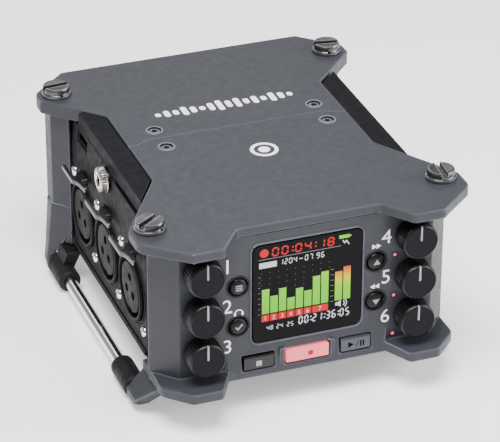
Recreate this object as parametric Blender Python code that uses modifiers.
"""A portable field recorder: two die-cast shells, six XLR inputs, six gain knobs, a colour display,
transport keys and two chrome side bars that it stands on.

Lengths are in millimetres, and MM turns them into metres where a mesh is made. The origin is at the
centre of the footprint, on the surface that the side bars stand on. +X is to the right of a person who
faces the display, +Y runs to the back and +Z is up. Left and right mirror each other in x.
"""

from math import cos, pi, radians, sin, tan

import bmesh
import bpy
from mathutils import Matrix, Vector

MM = 0.001

# Overall size
WIDTH = 100.0
DEPTH = 119.8
HEIGHT = 62.9
GAP = 0.3  # kept between pieces that touch

# Levels above the surface
BASE_Z = 10.9  # underside of the body
FOOT_TOP = 14.0
TOP_Z = 59.9  # face of the top plate
FRONT_LIP = 3.0  # thickness of the front half of the top plate
REAR_LIP = 4.3
BAR_Z = 3.5  # axis of the side bars

# Plan of the top plate
SIDE = WIDTH / 2
FRONT = -DEPTH / 2
REAR = DEPTH / 2
WAIST = 34.3
SEAM = 8.0  # y where the two shells meet
CORNER_SCREW = (44.0, 42.0, 46.5)  # x, then y in front of and behind the middle
PLATE_SCREW = (25.3, 2.7, 13.7)
PLATE_SHIFT = 1.5  # the four plate screws sit this far to the right of the middle
STRAP_SCREW = (4.1, 4.6)  # radius of the drum head and of the washer

# Front panel
PANEL_Y = -50.2
PANEL_THICK = 4.0
PANEL_HALF = 38.5
WINDOW = (16.5, 21.4, 53.0)  # half width, bottom and top
WINDOW_ROUND = 2.0
KNOB_X = 32.1
KNOB_ROWS = (48.3, 35.2, 22.1)
KNOB_RADIUS = 5.55
KNOB_FACE = -56.8
SHAFT_RADIUS = 3.0
BUTTON_X = 20.95
BUTTON_ROWS = (41.05, 28.1)
BUTTON_RADIUS = 2.65
KEY_Z = (13.3, 17.5)
KEY_X = (10.3, 19.55)
KEY_PROUD = 1.2
RECORD_HALF = 6.6

# Side panels, for x > 0
FLANK = 42.0
FLANK_TOP = (41.1, 59.4)  # x and z of the edge between the flank and the shoulder
FLANK_Y = (-31.9, 38.6)
XLR_Y = (26.5, 3.55, -19.4)
XLR_Z = 28.4
XLR_RADIUS = 9.7
LATCH_Z = 40.2
LATCH_TRAVEL = 1.0

# Side bars
BAR_X = 46.4
BAR_RADIUS = 1.9
SLEEVE_RADIUS = 3.5
SLEEVES_Y = ((-34.2, -20.8), (29.6, 43.4))

# Back
BACK_Y = 58.2
DOOR_HALF = 29.0
DOOR_Z = (16.0, 51.0)
DOOR_THICK = 2.4

COLOURS = {
    "shell": ((0.085, 0.088, 0.097), 0.48, 0.35),
    "flank": ((0.028, 0.028, 0.031), 0.5, 0.0),
    "black": ((0.012, 0.012, 0.013), 0.42, 0.0),
    "knob": ((0.014, 0.014, 0.015), 0.3, 0.3),
    "gunmetal": ((0.2, 0.2, 0.21), 0.35, 0.9),
    "chrome": ((0.75, 0.75, 0.77), 0.12, 1.0),
    "brass": ((0.72, 0.52, 0.22), 0.3, 1.0),
    "glass": ((0.01, 0.01, 0.012), 0.05, 0.0),
    "board": ((0.02, 0.12, 0.05), 0.5, 0.0),
    "key_grey": ((0.3, 0.31, 0.33), 0.4, 0.0),
    "key_red": ((0.9, 0.3, 0.3), 0.35, 0.0),
}


def clear_scene():
    for old in list(bpy.data.objects):
        bpy.data.objects.remove(old, do_unlink=True)


def new_collection(name):
    collection = bpy.data.collections.new(name)
    bpy.context.scene.collection.children.link(collection)
    return collection


clear_scene()
PARTS = new_collection("field_recorder")
CUTTERS = new_collection("cutters")


def material(name):
    found = bpy.data.materials.get(name)
    if found:
        return found
    colour, roughness, metallic = COLOURS[name]
    made = bpy.data.materials.new(name)
    made.use_nodes = True
    shader = made.node_tree.nodes["Principled BSDF"]
    shader.inputs["Base Color"].default_value = (*colour, 1.0)
    shader.inputs["Roughness"].default_value = roughness
    shader.inputs["Metallic"].default_value = metallic
    return made


def add_object(name, mesh, finish):
    """A finished part where finish names a material, and a hidden cutter where it is None."""
    made = bpy.data.objects.new(name, mesh)
    if finish:
        PARTS.objects.link(made)
        mesh.materials.append(material(finish))
    else:
        CUTTERS.objects.link(made)
        made.hide_render = True
        made.display_type = "WIRE"
    return made


def mesh_from(bm, name):
    bmesh.ops.recalc_face_normals(bm, faces=bm.faces)
    mesh = bpy.data.meshes.new(name)
    bm.to_mesh(mesh)
    bm.free()
    return mesh


def block(name, low, high, finish=None):
    """A box between two corners."""
    bm = bmesh.new()
    size = [h - l for l, h in zip(low, high)]
    middle = Vector([(h + l) / 2 for l, h in zip(low, high)])
    bmesh.ops.create_cube(bm, size=1.0)
    bmesh.ops.scale(bm, vec=Vector(size) * MM, verts=bm.verts)
    bmesh.ops.translate(bm, vec=middle * MM, verts=bm.verts)
    return add_object(name, mesh_from(bm, name), finish)


def shaft(name, radius, start, end, finish=None, sides=20):
    """A round bar from one point to another."""
    bm = bmesh.new()
    run = Vector(end) - Vector(start)
    middle = (Vector(end) + Vector(start)) / 2
    bmesh.ops.create_cone(
        bm, cap_ends=True, segments=sides, radius1=radius * MM, radius2=radius * MM, depth=run.length * MM
    )
    turn = run.to_track_quat("Z", "Y").to_matrix().to_4x4()
    bmesh.ops.transform(bm, matrix=Matrix.Translation(middle * MM) @ turn, verts=bm.verts)
    mesh = mesh_from(bm, name)
    smooth(mesh)
    return add_object(name, mesh, finish)


def smooth(mesh, angle=35):
    mesh.shade_smooth()
    mesh.set_sharp_from_angle(angle=radians(angle))


def turned(name, profile, centre, axis, finish=None, steps=24):
    """A turned piece. The profile's (radius, height) pairs run from the top of the axis to its bottom."""
    mesh = bpy.data.meshes.new(name)
    points = [(radius * MM, 0.0, height * MM) for radius, height in profile]
    edges = [(i, i + 1) for i in range(len(points) - 1)]
    mesh.from_pydata(points, edges, [])
    made = add_object(name, mesh, finish)
    made.location = Vector(centre) * MM
    made.rotation_euler = Vector(axis).to_track_quat("Z", "Y").to_euler()
    screw = made.modifiers.new("Turn", "SCREW")
    screw.steps = steps
    screw.render_steps = steps
    screw.use_merge_vertices = True
    screw.merge_threshold = 0.00001
    screw.use_smooth_shade = False
    return made


def outline_solid(name, outline, low, high, along="Z", finish=None):
    """A flat outline given thickness. Along Z it lies in XY, along Y in XZ and along X in YZ."""
    curve = bpy.data.curves.new(name, "CURVE")
    curve.dimensions = "2D"
    curve.fill_mode = "BOTH"
    curve.extrude = (high - low) / 2 * MM
    spline = curve.splines.new("POLY")
    spline.points.add(len(outline) - 1)
    for point, (u, v) in zip(spline.points, outline):
        point.co = (u * MM, v * MM, 0.0, 1.0)
    spline.use_cyclic_u = True
    guide = bpy.data.objects.new(name + "_outline", curve)
    CUTTERS.objects.link(guide)
    graph = bpy.context.evaluated_depsgraph_get()
    mesh = bpy.data.meshes.new_from_object(guide.evaluated_get(graph))
    mesh.name = name
    bpy.data.objects.remove(guide)
    middle = (high + low) / 2 * MM
    upright = Matrix.Rotation(pi / 2, 4, "X")
    frames = {
        "Z": Matrix.Translation((0, 0, middle)),
        "Y": Matrix.Translation((0, middle, 0)) @ upright,
        "X": Matrix.Translation((middle, 0, 0)) @ Matrix.Rotation(pi / 2, 4, "Z") @ upright,
    }
    bm = bmesh.new()
    bm.from_mesh(mesh)
    bmesh.ops.remove_doubles(bm, verts=bm.verts, dist=0.000001)
    bmesh.ops.transform(bm, matrix=frames[along], verts=bm.verts)
    bmesh.ops.recalc_face_normals(bm, faces=bm.faces)
    bm.to_mesh(mesh)
    bm.free()
    return add_object(name, mesh, finish)


def rounded(corners, steps=3):
    """An outline with each (x, y, radius) corner turned into an arc. A radius of 0 keeps it sharp."""
    points = []
    count = len(corners)
    for i, (x, y, radius) in enumerate(corners):
        here = Vector((x, y))
        before = (Vector(corners[i - 1][:2]) - here).normalized()
        after = (Vector(corners[(i + 1) % count][:2]) - here).normalized()
        if radius == 0:
            points.append((x, y))
            continue
        half = before.angle(after) / 2
        reach = radius / tan(half)
        centre = here + (before + after).normalized() * (radius / sin(half))
        first = here + before * reach - centre
        sweep = first.angle_signed(here + after * reach - centre)
        for step in range(steps + 1):
            turn = -sweep * step / steps
            points.append(tuple(centre + Matrix.Rotation(turn, 2) @ first))
    return points


def mirrored(half):
    """A closed outline from the x > 0 half, which runs from front to back."""
    return half + [(-x, y, radius) for x, y, radius in reversed(half)]


def combine(target, others, operation):
    for other in others:
        boolean = target.modifiers.new(other.name, "BOOLEAN")
        boolean.operation = operation
        boolean.solver = "EXACT"
        boolean.object = other
    return target


def join(target, *others):
    return combine(target, others, "UNION")


def cut(target, *others):
    return combine(target, others, "DIFFERENCE")


def keep_common(target, *others):
    return combine(target, others, "INTERSECT")


def pivot_at(piece, point):
    """Moves the piece's origin to the point on its joint's axis and leaves its shape in place."""
    shift = Vector(point) * MM - piece.location
    turn = piece.rotation_euler.to_matrix().to_4x4()
    piece.data.transform(turn.inverted() @ Matrix.Translation(-shift) @ turn)
    piece.location += shift
    return piece


def sides():
    """(name, sign of x) of the left and the right side."""
    return (("left", -1), ("right", 1))


def flipped(outline, sign):
    return [(sign * u, v) for u, v in outline]


# ---- shells ----


def front_plate_outline():
    waist_front = -15.3
    flare_end = -41.0
    return rounded(
        mirrored(
            [
                (21.5, -50.6, 2.0),
                (28.3, FRONT, 2.0),
                (37.6, FRONT, 2.0),
                (SIDE, -49.3, 5.0),
                (SIDE, flare_end, 3.0),
                (WAIST, waist_front, 3.0),
                (WAIST, SEAM - 2.2, 0.0),
                (31.0, SEAM - 2.2, 0.0),
                (28.0, SEAM, 0.0),
            ]
        )
    )


def rear_plate_outline():
    notch_back = 43.6
    notch_front = 27.1
    seam = SEAM + GAP
    return rounded(
        mirrored(
            [
                (28.0, seam, 0.0),
                (31.0, seam - 2.2, 0.0),
                (WAIST, seam - 2.2, 0.0),
                (WAIST, notch_front, 2.0),
                (SIDE, notch_back, 1.5),
                (SIDE, 48.8, 3.0),
                (38.5, REAR, 3.0),
            ]
        )
    )


def foot_outline():
    return rounded(
        mirrored(
            [
                (23.3, PANEL_Y, 0.0),
                (28.6, FRONT, 1.5),
                (37.6, FRONT, 2.0),
                (44.9, -52.6, 4.0),
                (44.9, -36.0, 0.0),
                (40.5, -36.0, 0.0),
                (33.0, -46.4, 0.0),
            ]
        )
    )


def front_column(name, sign):
    rear = FLANK_Y[0] - GAP
    plan = [(45.3, -42.8), (38.5, PANEL_Y), (37.4, PANEL_Y), (37.4, -45.0), (39.6, -38.0), (39.6, rear)]
    plan.append((41.9, rear))
    return outline_solid(name, flipped(plan, sign), BASE_Z, TOP_Z - 1.0)


def front_chin():
    """The panel leans forward a little below the keys."""
    side_view = [(PANEL_Y + 0.5, 19.5), (PANEL_Y, 19.5), (PANEL_Y - 1.6, BASE_Z), (PANEL_Y + 0.5, BASE_Z)]
    return outline_solid("front_chin", side_view, -24.5, 24.5, along="X")


def front_arm(name, sign):
    """The arm that carries the front end of a side bar: its side view and its front view, in common."""
    rear = SLEEVES_Y[0][0] - GAP
    side_view = [(rear, 0.2), (rear - 4.0, 0.2), (-48.5, BASE_Z), (-48.5, FOOT_TOP), (rear - 2.0, FOOT_TOP)]
    side_view.append((rear, FOOT_TOP - 1.4))
    front_view = [(39.6, 9.6), (44.0, 0.2), (47.2, 0.2), (49.4, 2.2), (49.4, 4.6), (42.0, 12.6), (39.6, 14.6)]
    arm = outline_solid(name, flipped(front_view, sign), -50.0, -28.0, along="Y")
    trim = outline_solid(name + "_trim", side_view, -60.0, 60.0, along="X")
    return keep_common(arm, trim)


def rear_leg(name, sign):
    """The lower end of a rear column, splayed out to the rear end of a side bar and clear of its sleeve."""
    front_view = [(40.0, 24.0), (40.0, 20.0), (42.4, 17.0), (47.0, 5.2), (47.2, 0.2), (48.4, 0.2)]
    front_view += [(49.0, 3.0), (48.5, 8.0), (47.4, 24.0)]
    plan = [(42.6, 38.9), (49.4, 46.6), (49.4, 49.0), (40.0, 49.0), (40.0, 41.0)]
    leg = outline_solid(name, flipped(front_view, sign), 38.0, 50.0, along="Y")
    keep_common(leg, outline_solid(name + "_plan", flipped(plan, sign), -1.0, 30.0))
    ends = [(sign * BAR_X, y, BAR_Z) for y in (30.0, SLEEVES_Y[1][1] + GAP)]
    return cut(leg, shaft(name + "_room", SLEEVE_RADIUS + GAP, *ends))


def window_outline(margin):
    half, low, high = WINDOW
    corners = [(half, low), (half, high), (-half, high), (-half, low)]
    grown = []
    for x, z in corners:
        out = margin if x > 0 else -margin
        up = margin if z == high else -margin
        grown.append((x + out, z + up, WINDOW_ROUND + margin))
    return rounded(grown, steps=4)


def panel_cutters():
    """Everything that passes through the front panel."""
    back = PANEL_Y + PANEL_THICK + 3.0
    front = PANEL_Y - 5.0
    cutters = [outline_solid("window_hole", window_outline(GAP), front, back, along="Y")]
    for side, sign in sides():
        for row, z in enumerate(KNOB_ROWS):
            x = sign * KNOB_X
            radius = SHAFT_RADIUS + 0.6
            cutters.append(shaft(f"shaft_hole_{side}_{row}", radius, (x, front, z), (x, back, z), sides=16))
        for row, z in enumerate(BUTTON_ROWS):
            x = sign * BUTTON_X
            radius = BUTTON_RADIUS + GAP
            cutters.append(shaft(f"button_hole_{side}_{row}", radius, (x, front, z), (x, back, z), sides=20))
        ends = sorted((sign * (KEY_X[0] - GAP), sign * (KEY_X[1] + GAP)))
        low_corner = (ends[0], front, KEY_Z[0] - GAP)
        cutters.append(block(f"key_hole_{side}", low_corner, (ends[1], back, KEY_Z[1] + GAP)))
    low_corner = (-RECORD_HALF - GAP, front, KEY_Z[0] - GAP)
    cutters.append(block("record_hole", low_corner, (RECORD_HALF + GAP, back, KEY_Z[1] + GAP)))
    return cutters


def front_shell():
    plate = outline_solid("front_shell", front_plate_outline(), TOP_Z - FRONT_LIP, TOP_Z, finish="shell")
    low = (-PANEL_HALF, PANEL_Y, BASE_Z)
    high = (PANEL_HALF, PANEL_Y + PANEL_THICK, TOP_Z - 1.0)
    pieces = [block("front_wall", low, high)]
    pieces.append(outline_solid("front_foot", foot_outline(), BASE_Z, FOOT_TOP))
    pieces.append(front_chin())
    for side, sign in sides():
        pieces.append(front_column(f"front_column_{side}", sign))
        pieces.append(front_arm(f"front_arm_{side}", sign))
    join(plate, *pieces)
    cut(plate, *panel_cutters())
    return cut(plate, *screw_holes("front", -CORNER_SCREW[1], PLATE_SCREW[1]))


def screw_holes(end, corner_y, plate_y):
    holes = []
    for side, sign in sides():
        label = f"{end}_{side}"
        x = sign * CORNER_SCREW[0]
        top = TOP_Z + 2.0
        ends = [(x, corner_y, z) for z in (TOP_Z - 2.5, top)]
        holes.append(shaft("corner_hole_" + label, 2.0, *ends, sides=12))
        x = sign * PLATE_SCREW[0] + PLATE_SHIFT
        above = (x, plate_y, top)
        holes.append(shaft("plate_hole_" + label, 2.3, (x, plate_y, TOP_Z - 1.2), above, sides=16))
        holes.append(shaft("plate_bore_" + label, 1.4, (x, plate_y, TOP_Z - REAR_LIP - 1.0), above, sides=12))
    return holes


def rear_shell():
    plate = outline_solid("rear_shell", rear_plate_outline(), TOP_Z - REAR_LIP, TOP_Z, finish="shell")
    pieces = [block("rear_wall", (-40.0, BACK_Y - 3.4, BASE_Z), (40.0, BACK_Y, TOP_Z - 1.0))]
    for side, sign in sides():
        plan = [(42.6, 38.9), (47.0, 43.9), (47.0, 50.0), (39.0, BACK_Y), (36.0, BACK_Y), (36.0, 54.8)]
        plan.append((40.6, 41.0))
        pieces.append(outline_solid(f"rear_column_{side}", flipped(plan, sign), BASE_Z, TOP_Z - 1.0))
        pieces.append(rear_leg(f"rear_leg_{side}", sign))
    join(plate, *pieces)
    low = (-DOOR_HALF - GAP, BACK_Y - 10.0, DOOR_Z[0] - GAP)
    doorway = block("doorway", low, (DOOR_HALF + GAP, BACK_Y + 5.0, DOOR_Z[1] + GAP))
    cut(plate, doorway)
    return cut(plate, *screw_holes("rear", CORNER_SCREW[2], PLATE_SCREW[2]))


def base_plate():
    """The bottom cover, with the posts that hold the main board and the tripod boss."""
    plan = rounded(mirrored([(32.4, -43.8, 0.0), (39.2, -35.9, 0.0), (39.2, 40.0, 0.0), (35.6, 54.4, 0.0)]))
    plate = outline_solid("base_plate", plan, BASE_Z, BASE_Z + 1.6, finish="shell")
    posts = []
    for x in (-30.0, 30.0):
        for y in (-30.0, 30.0):
            posts.append(shaft(f"post_{x:.0f}_{y:.0f}", 2.2, (x, y, BASE_Z + 1.0), (x, y, 15.0), sides=10))
    posts.append(shaft("tripod_boss", 6.0, (0, 0, BASE_Z + 1.0), (0, 0, 15.0), sides=16))
    join(plate, *posts)
    return cut(plate, shaft("tripod_hole", 4.3, (0, 0, BASE_Z - 2.0), (0, 0, 20.0), sides=20))


def tripod_insert():
    """A 1/4 inch insert, open below."""
    top = 15.0
    mouth = BASE_Z + GAP
    profile = [(0, top), (4.0, top), (4.0, mouth), (3.1, mouth), (3.1, top - 0.8), (0, top - 0.8)]
    return turned("tripod_insert", profile, (0, 0, 0), (0, 0, 1), "brass", steps=20)


# ---- sides ----


def flank_x(z):
    """How far out the sloping upper part of the flank is at a height."""
    bend = 46.0
    x_top, z_top = FLANK_TOP
    return FLANK + (x_top - FLANK) * (z - bend) / (z_top - bend)


def flank_outline():
    top = TOP_Z - REAR_LIP - GAP
    return [(39.6, BASE_Z), (FLANK, BASE_Z), (FLANK, 46.0), (flank_x(top), top), (38.2, top), (39.6, 46.0)]


def shoulder(name, sign):
    """The shelf between the flank and the waist of the top plate, trimmed to the plate's outline."""
    x_top, z_top = FLANK_TOP
    foot_z = 54.8
    profile = [(flank_x(foot_z) - 0.1, foot_z), (x_top, z_top), (WAIST + GAP, z_top), (WAIST + GAP, 56.4)]
    profile.append((38.6, foot_z))
    slope = outline_solid(name, flipped(profile, sign), -28.0, 38.0, along="Y")
    front_x = WAIST + GAP
    plan = [(30.0, -14.6), (front_x, -14.6), (44.0, -30.2), (44.0, 36.8), (front_x, 26.2), (30.0, 26.2)]
    return keep_common(slope, outline_solid(name + "_trim", flipped(plan, sign), 40.0, 70.0))


def side_panel(side, sign, openings):
    name = f"side_panel_{side}"
    panel = outline_solid(name, flipped(flank_outline(), sign), *FLANK_Y, along="Y", finish="flank")
    join(panel, shoulder(f"shoulder_{side}", sign))
    cutters = []
    for i, y in enumerate(XLR_Y):
        inner = sign * 30.0
        outer = sign * 50.0
        cutters.append(
            shaft(f"xlr_hole_{side}_{i}", XLR_RADIUS + GAP, (inner, y, XLR_Z), (outer, y, XLR_Z), sides=24)
        )
        low = (min(inner, outer), y - 3.4, LATCH_Z - 0.4)
        cutters.append(block(f"latch_slot_{side}_{i}", low, (max(inner, outer), y + 3.4, LATCH_Z + 1.9)))
    return cut(panel, *cutters, *openings)


def across(name, radius, sign, y, z):
    """A round hole through a side panel."""
    return shaft(name, radius, (sign * 30.0, y, z), (sign * 50.0, y, z), sides=20)


def slot_across(name, sign, y, z, half_y, half_z):
    ends = sorted((sign * 30.0, sign * 50.0))
    return block(name, (ends[0], y - half_y, z - half_z), (ends[1], y + half_y, z + half_z))


def xlr_socket(side, sign, number, y):
    """A female three-pole socket: a shroud with a ring-shaped groove round the contact insert."""
    flange = FLANK + GAP
    face = 0.9
    profile = [
        (0, face - 0.2),
        (7.85, face - 0.2),
        (7.85, -7.0),
        (9.0, -7.0),
        (9.0, face),
        (10.3, face),
        (10.3, 0),
        (XLR_RADIUS, 0),
        (XLR_RADIUS, -13.0),
        (0, -13.0),
    ]
    centre = (sign * flange, y, XLR_Z)
    socket = turned(f"xlr_socket_{number}", profile, centre, (sign, 0, 0), "black", steps=20)
    holes = []
    for i, angle in enumerate((210, 330, 90)):
        hole_y = y + 3.3 * cos(radians(angle))
        hole_z = XLR_Z + 3.3 * sin(radians(angle))
        name = f"contact_{number}_{i}"
        holes.append(shaft(name, 1.2, (sign * 38.0, hole_y, hole_z), (sign * 46.0, hole_y, hole_z), sides=8))
    return cut(socket, *holes)


def xlr_latch(side, sign, number, y):
    """The release tab over a socket: a lip that stands off the panel, on a tongue that slides into it."""
    out = FLANK + GAP + LATCH_TRAVEL + 0.2
    plan = [
        (sign * 38.0, y - 3.0),
        (sign * out, y - 3.0),
        (sign * out, y - 8.2),
        (sign * (out + 1.1), y - 8.2),
        (sign * (out + 1.5), y - 4.6),
        (sign * 45.6, y - 2.4),
        (sign * 46.4, y - 1.8),
        (sign * 46.4, y + 8.6),
        (sign * 45.2, y + 8.6),
        (sign * 45.2, y - 0.2),
        (sign * (out + 0.9), y + 0.8),
        (sign * out, y + 3.0),
        (sign * 38.0, y + 3.0),
    ]
    tab = outline_solid(f"xlr_latch_{number}", plan, LATCH_Z, LATCH_Z + 1.5, finish="gunmetal")
    return pivot_at(tab, (sign * FLANK, y, LATCH_Z + 0.75))


def jack(name, sign, y, z):
    """A 3.5 mm jack: a threaded collar, a nut face on the panel and a body behind it."""
    bore = shaft(name + "_bore", 1.75, (sign * (FLANK - 6.0), y, z), (sign * 50.0, y, z), sides=12)
    outer = [(0, 1.9), (3.6, 1.9), (4.0, 1.5), (4.0, 0.0), (3.0, 0.0), (3.0, -8.0), (0, -8.0)]
    collar = turned(name, outer, (sign * (FLANK + GAP), y, z), (sign, 0, 0), "chrome", steps=20)
    return cut(collar, bore)


def usb_port(sign, y, z):
    half_y, half_z = 4.5, 1.7
    low = (sign * (FLANK - 9.0), y - half_y, z - half_z)
    high = (sign * (FLANK - 0.8), y + half_y, z + half_z)
    corners = [[f(a, b) for a, b in zip(low, high)] for f in (min, max)]
    port = block("usb_port", *corners, "gunmetal")
    low = (sign * (FLANK - 7.0), y - half_y + 0.5, z - half_z + 0.5)
    high = (sign * (FLANK + 3.0), y + half_y - 0.5, z + half_z - 0.5)
    corners = [[f(a, b) for a, b in zip(low, high)] for f in (min, max)]
    return cut(port, block("usb_mouth", *corners))


def side_bar(side, sign):
    ends = [(sign * BAR_X, y, BAR_Z) for y in (SLEEVES_Y[0][0] + 1.8, SLEEVES_Y[1][1] - 1.8)]
    return shaft(f"side_bar_{side}", BAR_RADIUS, *ends, "chrome")


def bar_sleeve(end, side, sign):
    low, high = SLEEVES_Y[0 if end == "front" else 1]
    rim = 0.7
    length = high - low
    profile = [(0, length), (SLEEVE_RADIUS - rim, length), (SLEEVE_RADIUS, length - rim)]
    profile += [(SLEEVE_RADIUS, rim), (SLEEVE_RADIUS - rim, 0), (0, 0)]
    name = f"bar_sleeve_{end}_{side}"
    sleeve = turned(name, profile, (sign * BAR_X, low, BAR_Z), (0, 1, 0), "black", steps=20)
    if end == "rear":
        web = [(40.6, BASE_Z - GAP), (44.6, 2.6), (48.0, 5.0), (44.2, BASE_Z - GAP)]
        join(sleeve, outline_solid(name + "_web", flipped(web, sign), high - 8.6, high - 2.8, along="Y"))
    inside = (low - 5.0, high - 1.5) if end == "rear" else (low + 1.5, high + 5.0)
    bore = shaft(name + "_bore", BAR_RADIUS + GAP, *[(sign * BAR_X, y, BAR_Z) for y in inside], sides=20)
    return cut(sleeve, bore)


# ---- front controls and display ----


def gain_knob(number, sign, z):
    """A knob with a dished face, pushed onto a potentiometer shaft."""
    back = PANEL_Y - 0.4
    length = back - KNOB_FACE
    radius = KNOB_RADIUS
    profile = [
        (0, length - 0.5),
        (radius - 1.2, length - 0.1),
        (radius - 0.7, length),
        (radius, length - 0.6),
        (radius, 0),
        (SHAFT_RADIUS + GAP, 0),
        (SHAFT_RADIUS + GAP, 4.3),
        (0, 4.3),
    ]
    knob = turned(f"gain_knob_{number}", profile, (sign * KNOB_X, back, z), (0, -1, 0), "knob", steps=24)
    mark = (sign * KNOB_X, KNOB_FACE, z)
    low = (mark[0] - 0.3, KNOB_FACE - 1.0, z + 1.2)
    return cut(knob, block(f"index_{number}", low, (mark[0] + 0.3, KNOB_FACE + 0.45, z + 7.0)))


def push_button(name, sign, z):
    x = sign * BUTTON_X
    inner = PANEL_Y + PANEL_THICK + GAP
    profile = [(0, 5.2), (BUTTON_RADIUS - 0.5, 5.2), (BUTTON_RADIUS, 4.8), (BUTTON_RADIUS, 0)]
    profile += [(BUTTON_RADIUS + 0.9, 0), (BUTTON_RADIUS + 0.9, -1.0), (0, -1.0)]
    return turned(name, profile, (x, inner, z), (0, -1, 0), "black", steps=20)


def key(name, low_x, high_x, finish):
    """A transport key with a flange that keeps it behind the panel."""
    low_z, high_z = KEY_Z
    inner = PANEL_Y + PANEL_THICK + GAP
    cap = block(name, (low_x, PANEL_Y - KEY_PROUD, low_z), (high_x, inner + 1.0, high_z), finish)
    edge = 0.9
    low = (low_x - edge, inner, low_z - edge)
    join(cap, block(name + "_flange", low, (high_x + edge, inner + 1.0, high_z + edge)))
    return pivot_at(cap, ((low_x + high_x) / 2, PANEL_Y, (low_z + high_z) / 2))


def display():
    half, low, high = WINDOW
    outline_solid("lcd_window", window_outline(0.0), PANEL_Y - 0.2, PANEL_Y + 1.0, along="Y", finish="glass")
    inset = 0.4
    low_corner = (-half + inset, PANEL_Y + 1.0 + GAP, low + inset)
    block("lcd_module", low_corner, (half - inset, PANEL_Y + 6.6, high - inset), "black")


def control_board():
    """The board behind the front panel, with the six potentiometer shafts on it."""
    front = PANEL_Y + 7.0
    board = block("control_board", (-37.0, front, 16.0), (37.0, front + 1.5, 54.5), "board")
    shafts = []
    for side, sign in sides():
        for row, z in enumerate(KNOB_ROWS):
            x = sign * KNOB_X
            tip = PANEL_Y - 4.0
            end = (x, front + 0.5, z)
            shafts.append(shaft(f"pot_{side}_{row}", 4.8, (x, front - 1.8, z), end, sides=12))
            shafts.append(shaft(f"pot_shaft_{side}_{row}", SHAFT_RADIUS, (x, tip, z), end, sides=16))
    return join(board, *shafts)


def controls():
    number = 1
    for side, sign in sides():
        for z in KNOB_ROWS:
            gain_knob(number, sign, z)
            number += 1
    for name, sign, row in (("menu", -1, 0), ("solo", -1, 1), ("up", 1, 0), ("down", 1, 1)):
        push_button(f"{name}_button", sign, BUTTON_ROWS[row])
    key("stop_key", -KEY_X[1], -KEY_X[0], "black")
    key("record_key", -RECORD_HALF, RECORD_HALF, "key_red")
    key("play_key", KEY_X[0], KEY_X[1], "key_grey")


# ---- screws on the top plate ----


def corner_screw(end, side, sign, y, slot_angle):
    """A thumb screw that holds the top plate and takes a strap: a washer, a slotted drum head and a stud."""
    top = HEIGHT - TOP_Z
    drum, washer = STRAP_SCREW
    profile = [(0, top), (drum - 0.7, top), (drum, top - 0.6), (drum, 1.0), (washer, 1.0), (washer, GAP)]
    profile += [(1.7, GAP), (1.7, -2.2), (0, -2.2)]
    centre = (sign * CORNER_SCREW[0], y, TOP_Z)
    screw = turned(f"corner_screw_{end}_{side}", profile, centre, (0, 0, 1), "gunmetal", steps=20)
    slot = block(f"slot_{end}_{side}", (-6.0, -0.9, 0.0), (6.0, 0.9, 4.0))
    slot.location = Vector(centre) * MM
    slot.location.z += 1.5 * MM
    slot.rotation_euler = (0, 0, radians(slot_angle))
    return cut(screw, slot)


def plate_screw(end, side, sign, y):
    """A socket head screw, flush with the top plate."""
    profile = [(0, -GAP), (2.0, -GAP), (2.0, -0.9), (1.1, -0.9), (1.1, -4.5), (0, -4.5)]
    centre = (sign * PLATE_SCREW[0] + PLATE_SHIFT, y, TOP_Z)
    screw = turned(f"plate_screw_{end}_{side}", profile, centre, (0, 0, 1), "gunmetal", steps=16)
    x = centre[0]
    socket = shaft(f"socket_{end}_{side}", 1.0, (x, y, TOP_Z - 0.75), (x, y, TOP_Z + 1.0), sides=6)
    return cut(screw, socket)


def top_screws():
    angles = {("front", "left"): 35, ("front", "right"): 85, ("rear", "left"): 5, ("rear", "right"): -10}
    for end, corner_y, plate_y in (
        ("front", -CORNER_SCREW[1], PLATE_SCREW[1]),
        ("rear", CORNER_SCREW[2], PLATE_SCREW[2]),
    ):
        for side, sign in sides():
            corner_screw(end, side, sign, corner_y, angles[end, side])
            plate_screw(end, side, sign, plate_y)


# ---- back and inside ----


def battery_door():
    """The rear door. Its lower edge is round about the hinge axis."""
    low_z, high_z = DOOR_Z
    radius = DOOR_THICK / 2
    middle = BACK_Y + 0.2 - radius
    axis_z = low_z + radius
    low = (-DOOR_HALF, middle - radius, axis_z)
    door = block("battery_door", low, (DOOR_HALF, middle + radius, high_z), "black")
    barrel = shaft("door_barrel", radius, (-DOOR_HALF, middle, axis_z), (DOOR_HALF, middle, axis_z), sides=16)
    join(door, barrel)
    cut(door, block("latch_window", (-4.4, 50.0, 41.0), (4.4, 65.0, 46.5)))
    return pivot_at(door, (0, middle, axis_z))


def battery_latch():
    """The sliding catch of the rear door: a thumb pad outside, a keeper inside and a neck between them."""
    outer = BACK_Y + 0.2 + GAP
    inner = BACK_Y + 0.2 - DOOR_THICK - GAP
    pad = block("battery_latch", (-7.0, outer, 39.6), (7.0, outer + 1.0, 47.8), "gunmetal")
    neck = block("latch_neck", (-4.0, inner - 0.4, 43.6), (4.0, outer + 0.5, 46.2))
    keeper = block("latch_keeper", (-7.0, inner - 0.8, 40.0), (7.0, inner, 48.6))
    join(pad, neck, keeper)
    return pivot_at(pad, (0, outer, 43.7))


def battery_tray():
    """The cell holder behind the rear door, open to the back."""
    low = (-27.6, 20.0, 16.6)
    high = (27.6, BACK_Y - 4.8, 50.4)
    wall = 1.2
    tray = block("battery_tray", low, high, "black")
    inside_low = (low[0] + wall, low[1] + wall, low[2] + wall)
    inside_high = (high[0] - wall, high[1] + 5.0, high[2] - wall)
    return cut(tray, block("tray_space", inside_low, inside_high))


def main_board():
    block("main_board", (-36.0, -39.0, 15.0 + GAP), (36.0, 18.0, 16.9), "board")


# ---- right side ----


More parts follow.
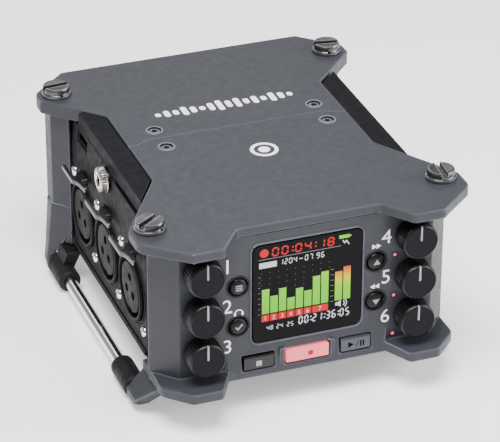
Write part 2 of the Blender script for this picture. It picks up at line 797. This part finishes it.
def volume_knob(sign, y, z):
    """The headphone level knob, with a stem into the side panel."""
    start = FLANK + GAP
    profile = [(0, 3.4), (3.3, 3.4), (3.8, 2.9), (3.8, 0.3), (1.5, 0.3), (1.5, -7.0), (0, -7.0)]
    return turned("headphone_knob", profile, (sign * start, y, z), (sign, 0, 0), "knob", steps=24)


def power_slider(sign, y, z):
    """The power switch: a ribbed cap outside, a narrow neck in the slot and a foot inside."""
    out = FLANK + GAP
    boxes = (
        ((out, -3.6, -1.9), (out + 1.8, 3.6, 1.9)),
        ((36.5, -1.6, -0.9), (out + 0.5, 1.6, 0.9)),
    )
    made = []
    for i, (low, high) in enumerate(boxes):
        ends = sorted((sign * low[0], sign * high[0]))
        name = "power_slider" if i == 0 else "slider_neck"
        finish = "gunmetal" if i == 0 else None
        corner = (ends[1], y + high[1], z + high[2])
        made.append(block(name, (ends[0], y + low[1], z + low[2]), corner, finish))
    join(made[0], made[1])
    return pivot_at(made[0], (sign * out, y, z))


def left_side():
    """Line output and USB above the three left inputs."""
    jack_at = (5.2, 51.2)
    usb_at = (29.0, 52.0)
    openings = [
        across("line_out_hole", 3.0 + GAP, -1, *jack_at),
        slot_across("usb_hole", -1, *usb_at, 4.8, 2.0),
    ]
    side_panel("left", -1, openings)
    jack("line_out_jack", -1, *jack_at)
    usb_port(-1, *usb_at)


def right_side():
    """Headphones, timecode and power above the three right inputs."""
    knob_at = (-7.0, 48.0)
    phones_at = (5.0, 49.5)
    timecode_at = (17.0, 49.5)
    slider_at = (29.0, 48.5)
    openings = [
        across("knob_hole", 1.5 + GAP, 1, *knob_at),
        across("phones_hole", 3.0 + GAP, 1, *phones_at),
        across("timecode_hole", 3.0 + GAP, 1, *timecode_at),
        slot_across("slider_slot", 1, *slider_at, 4.2, 1.2),
    ]
    side_panel("right", 1, openings)
    volume_knob(1, *knob_at)
    jack("headphone_jack", 1, *phones_at)
    jack("timecode_jack", 1, *timecode_at)
    power_slider(1, *slider_at)


def inputs_and_bars():
    number = 1
    for side, sign in sides():
        for y in reversed(XLR_Y):
            xlr_socket(side, sign, number, y)
            xlr_latch(side, sign, number, y)
            number += 1
        side_bar(side, sign)
        bar_sleeve("front", side, sign)
        bar_sleeve("rear", side, sign)


front_shell()
rear_shell()
base_plate()
tripod_insert()
left_side()
right_side()
inputs_and_bars()
display()
control_board()
controls()
top_screws()
battery_door()
battery_latch()
battery_tray()
main_board()
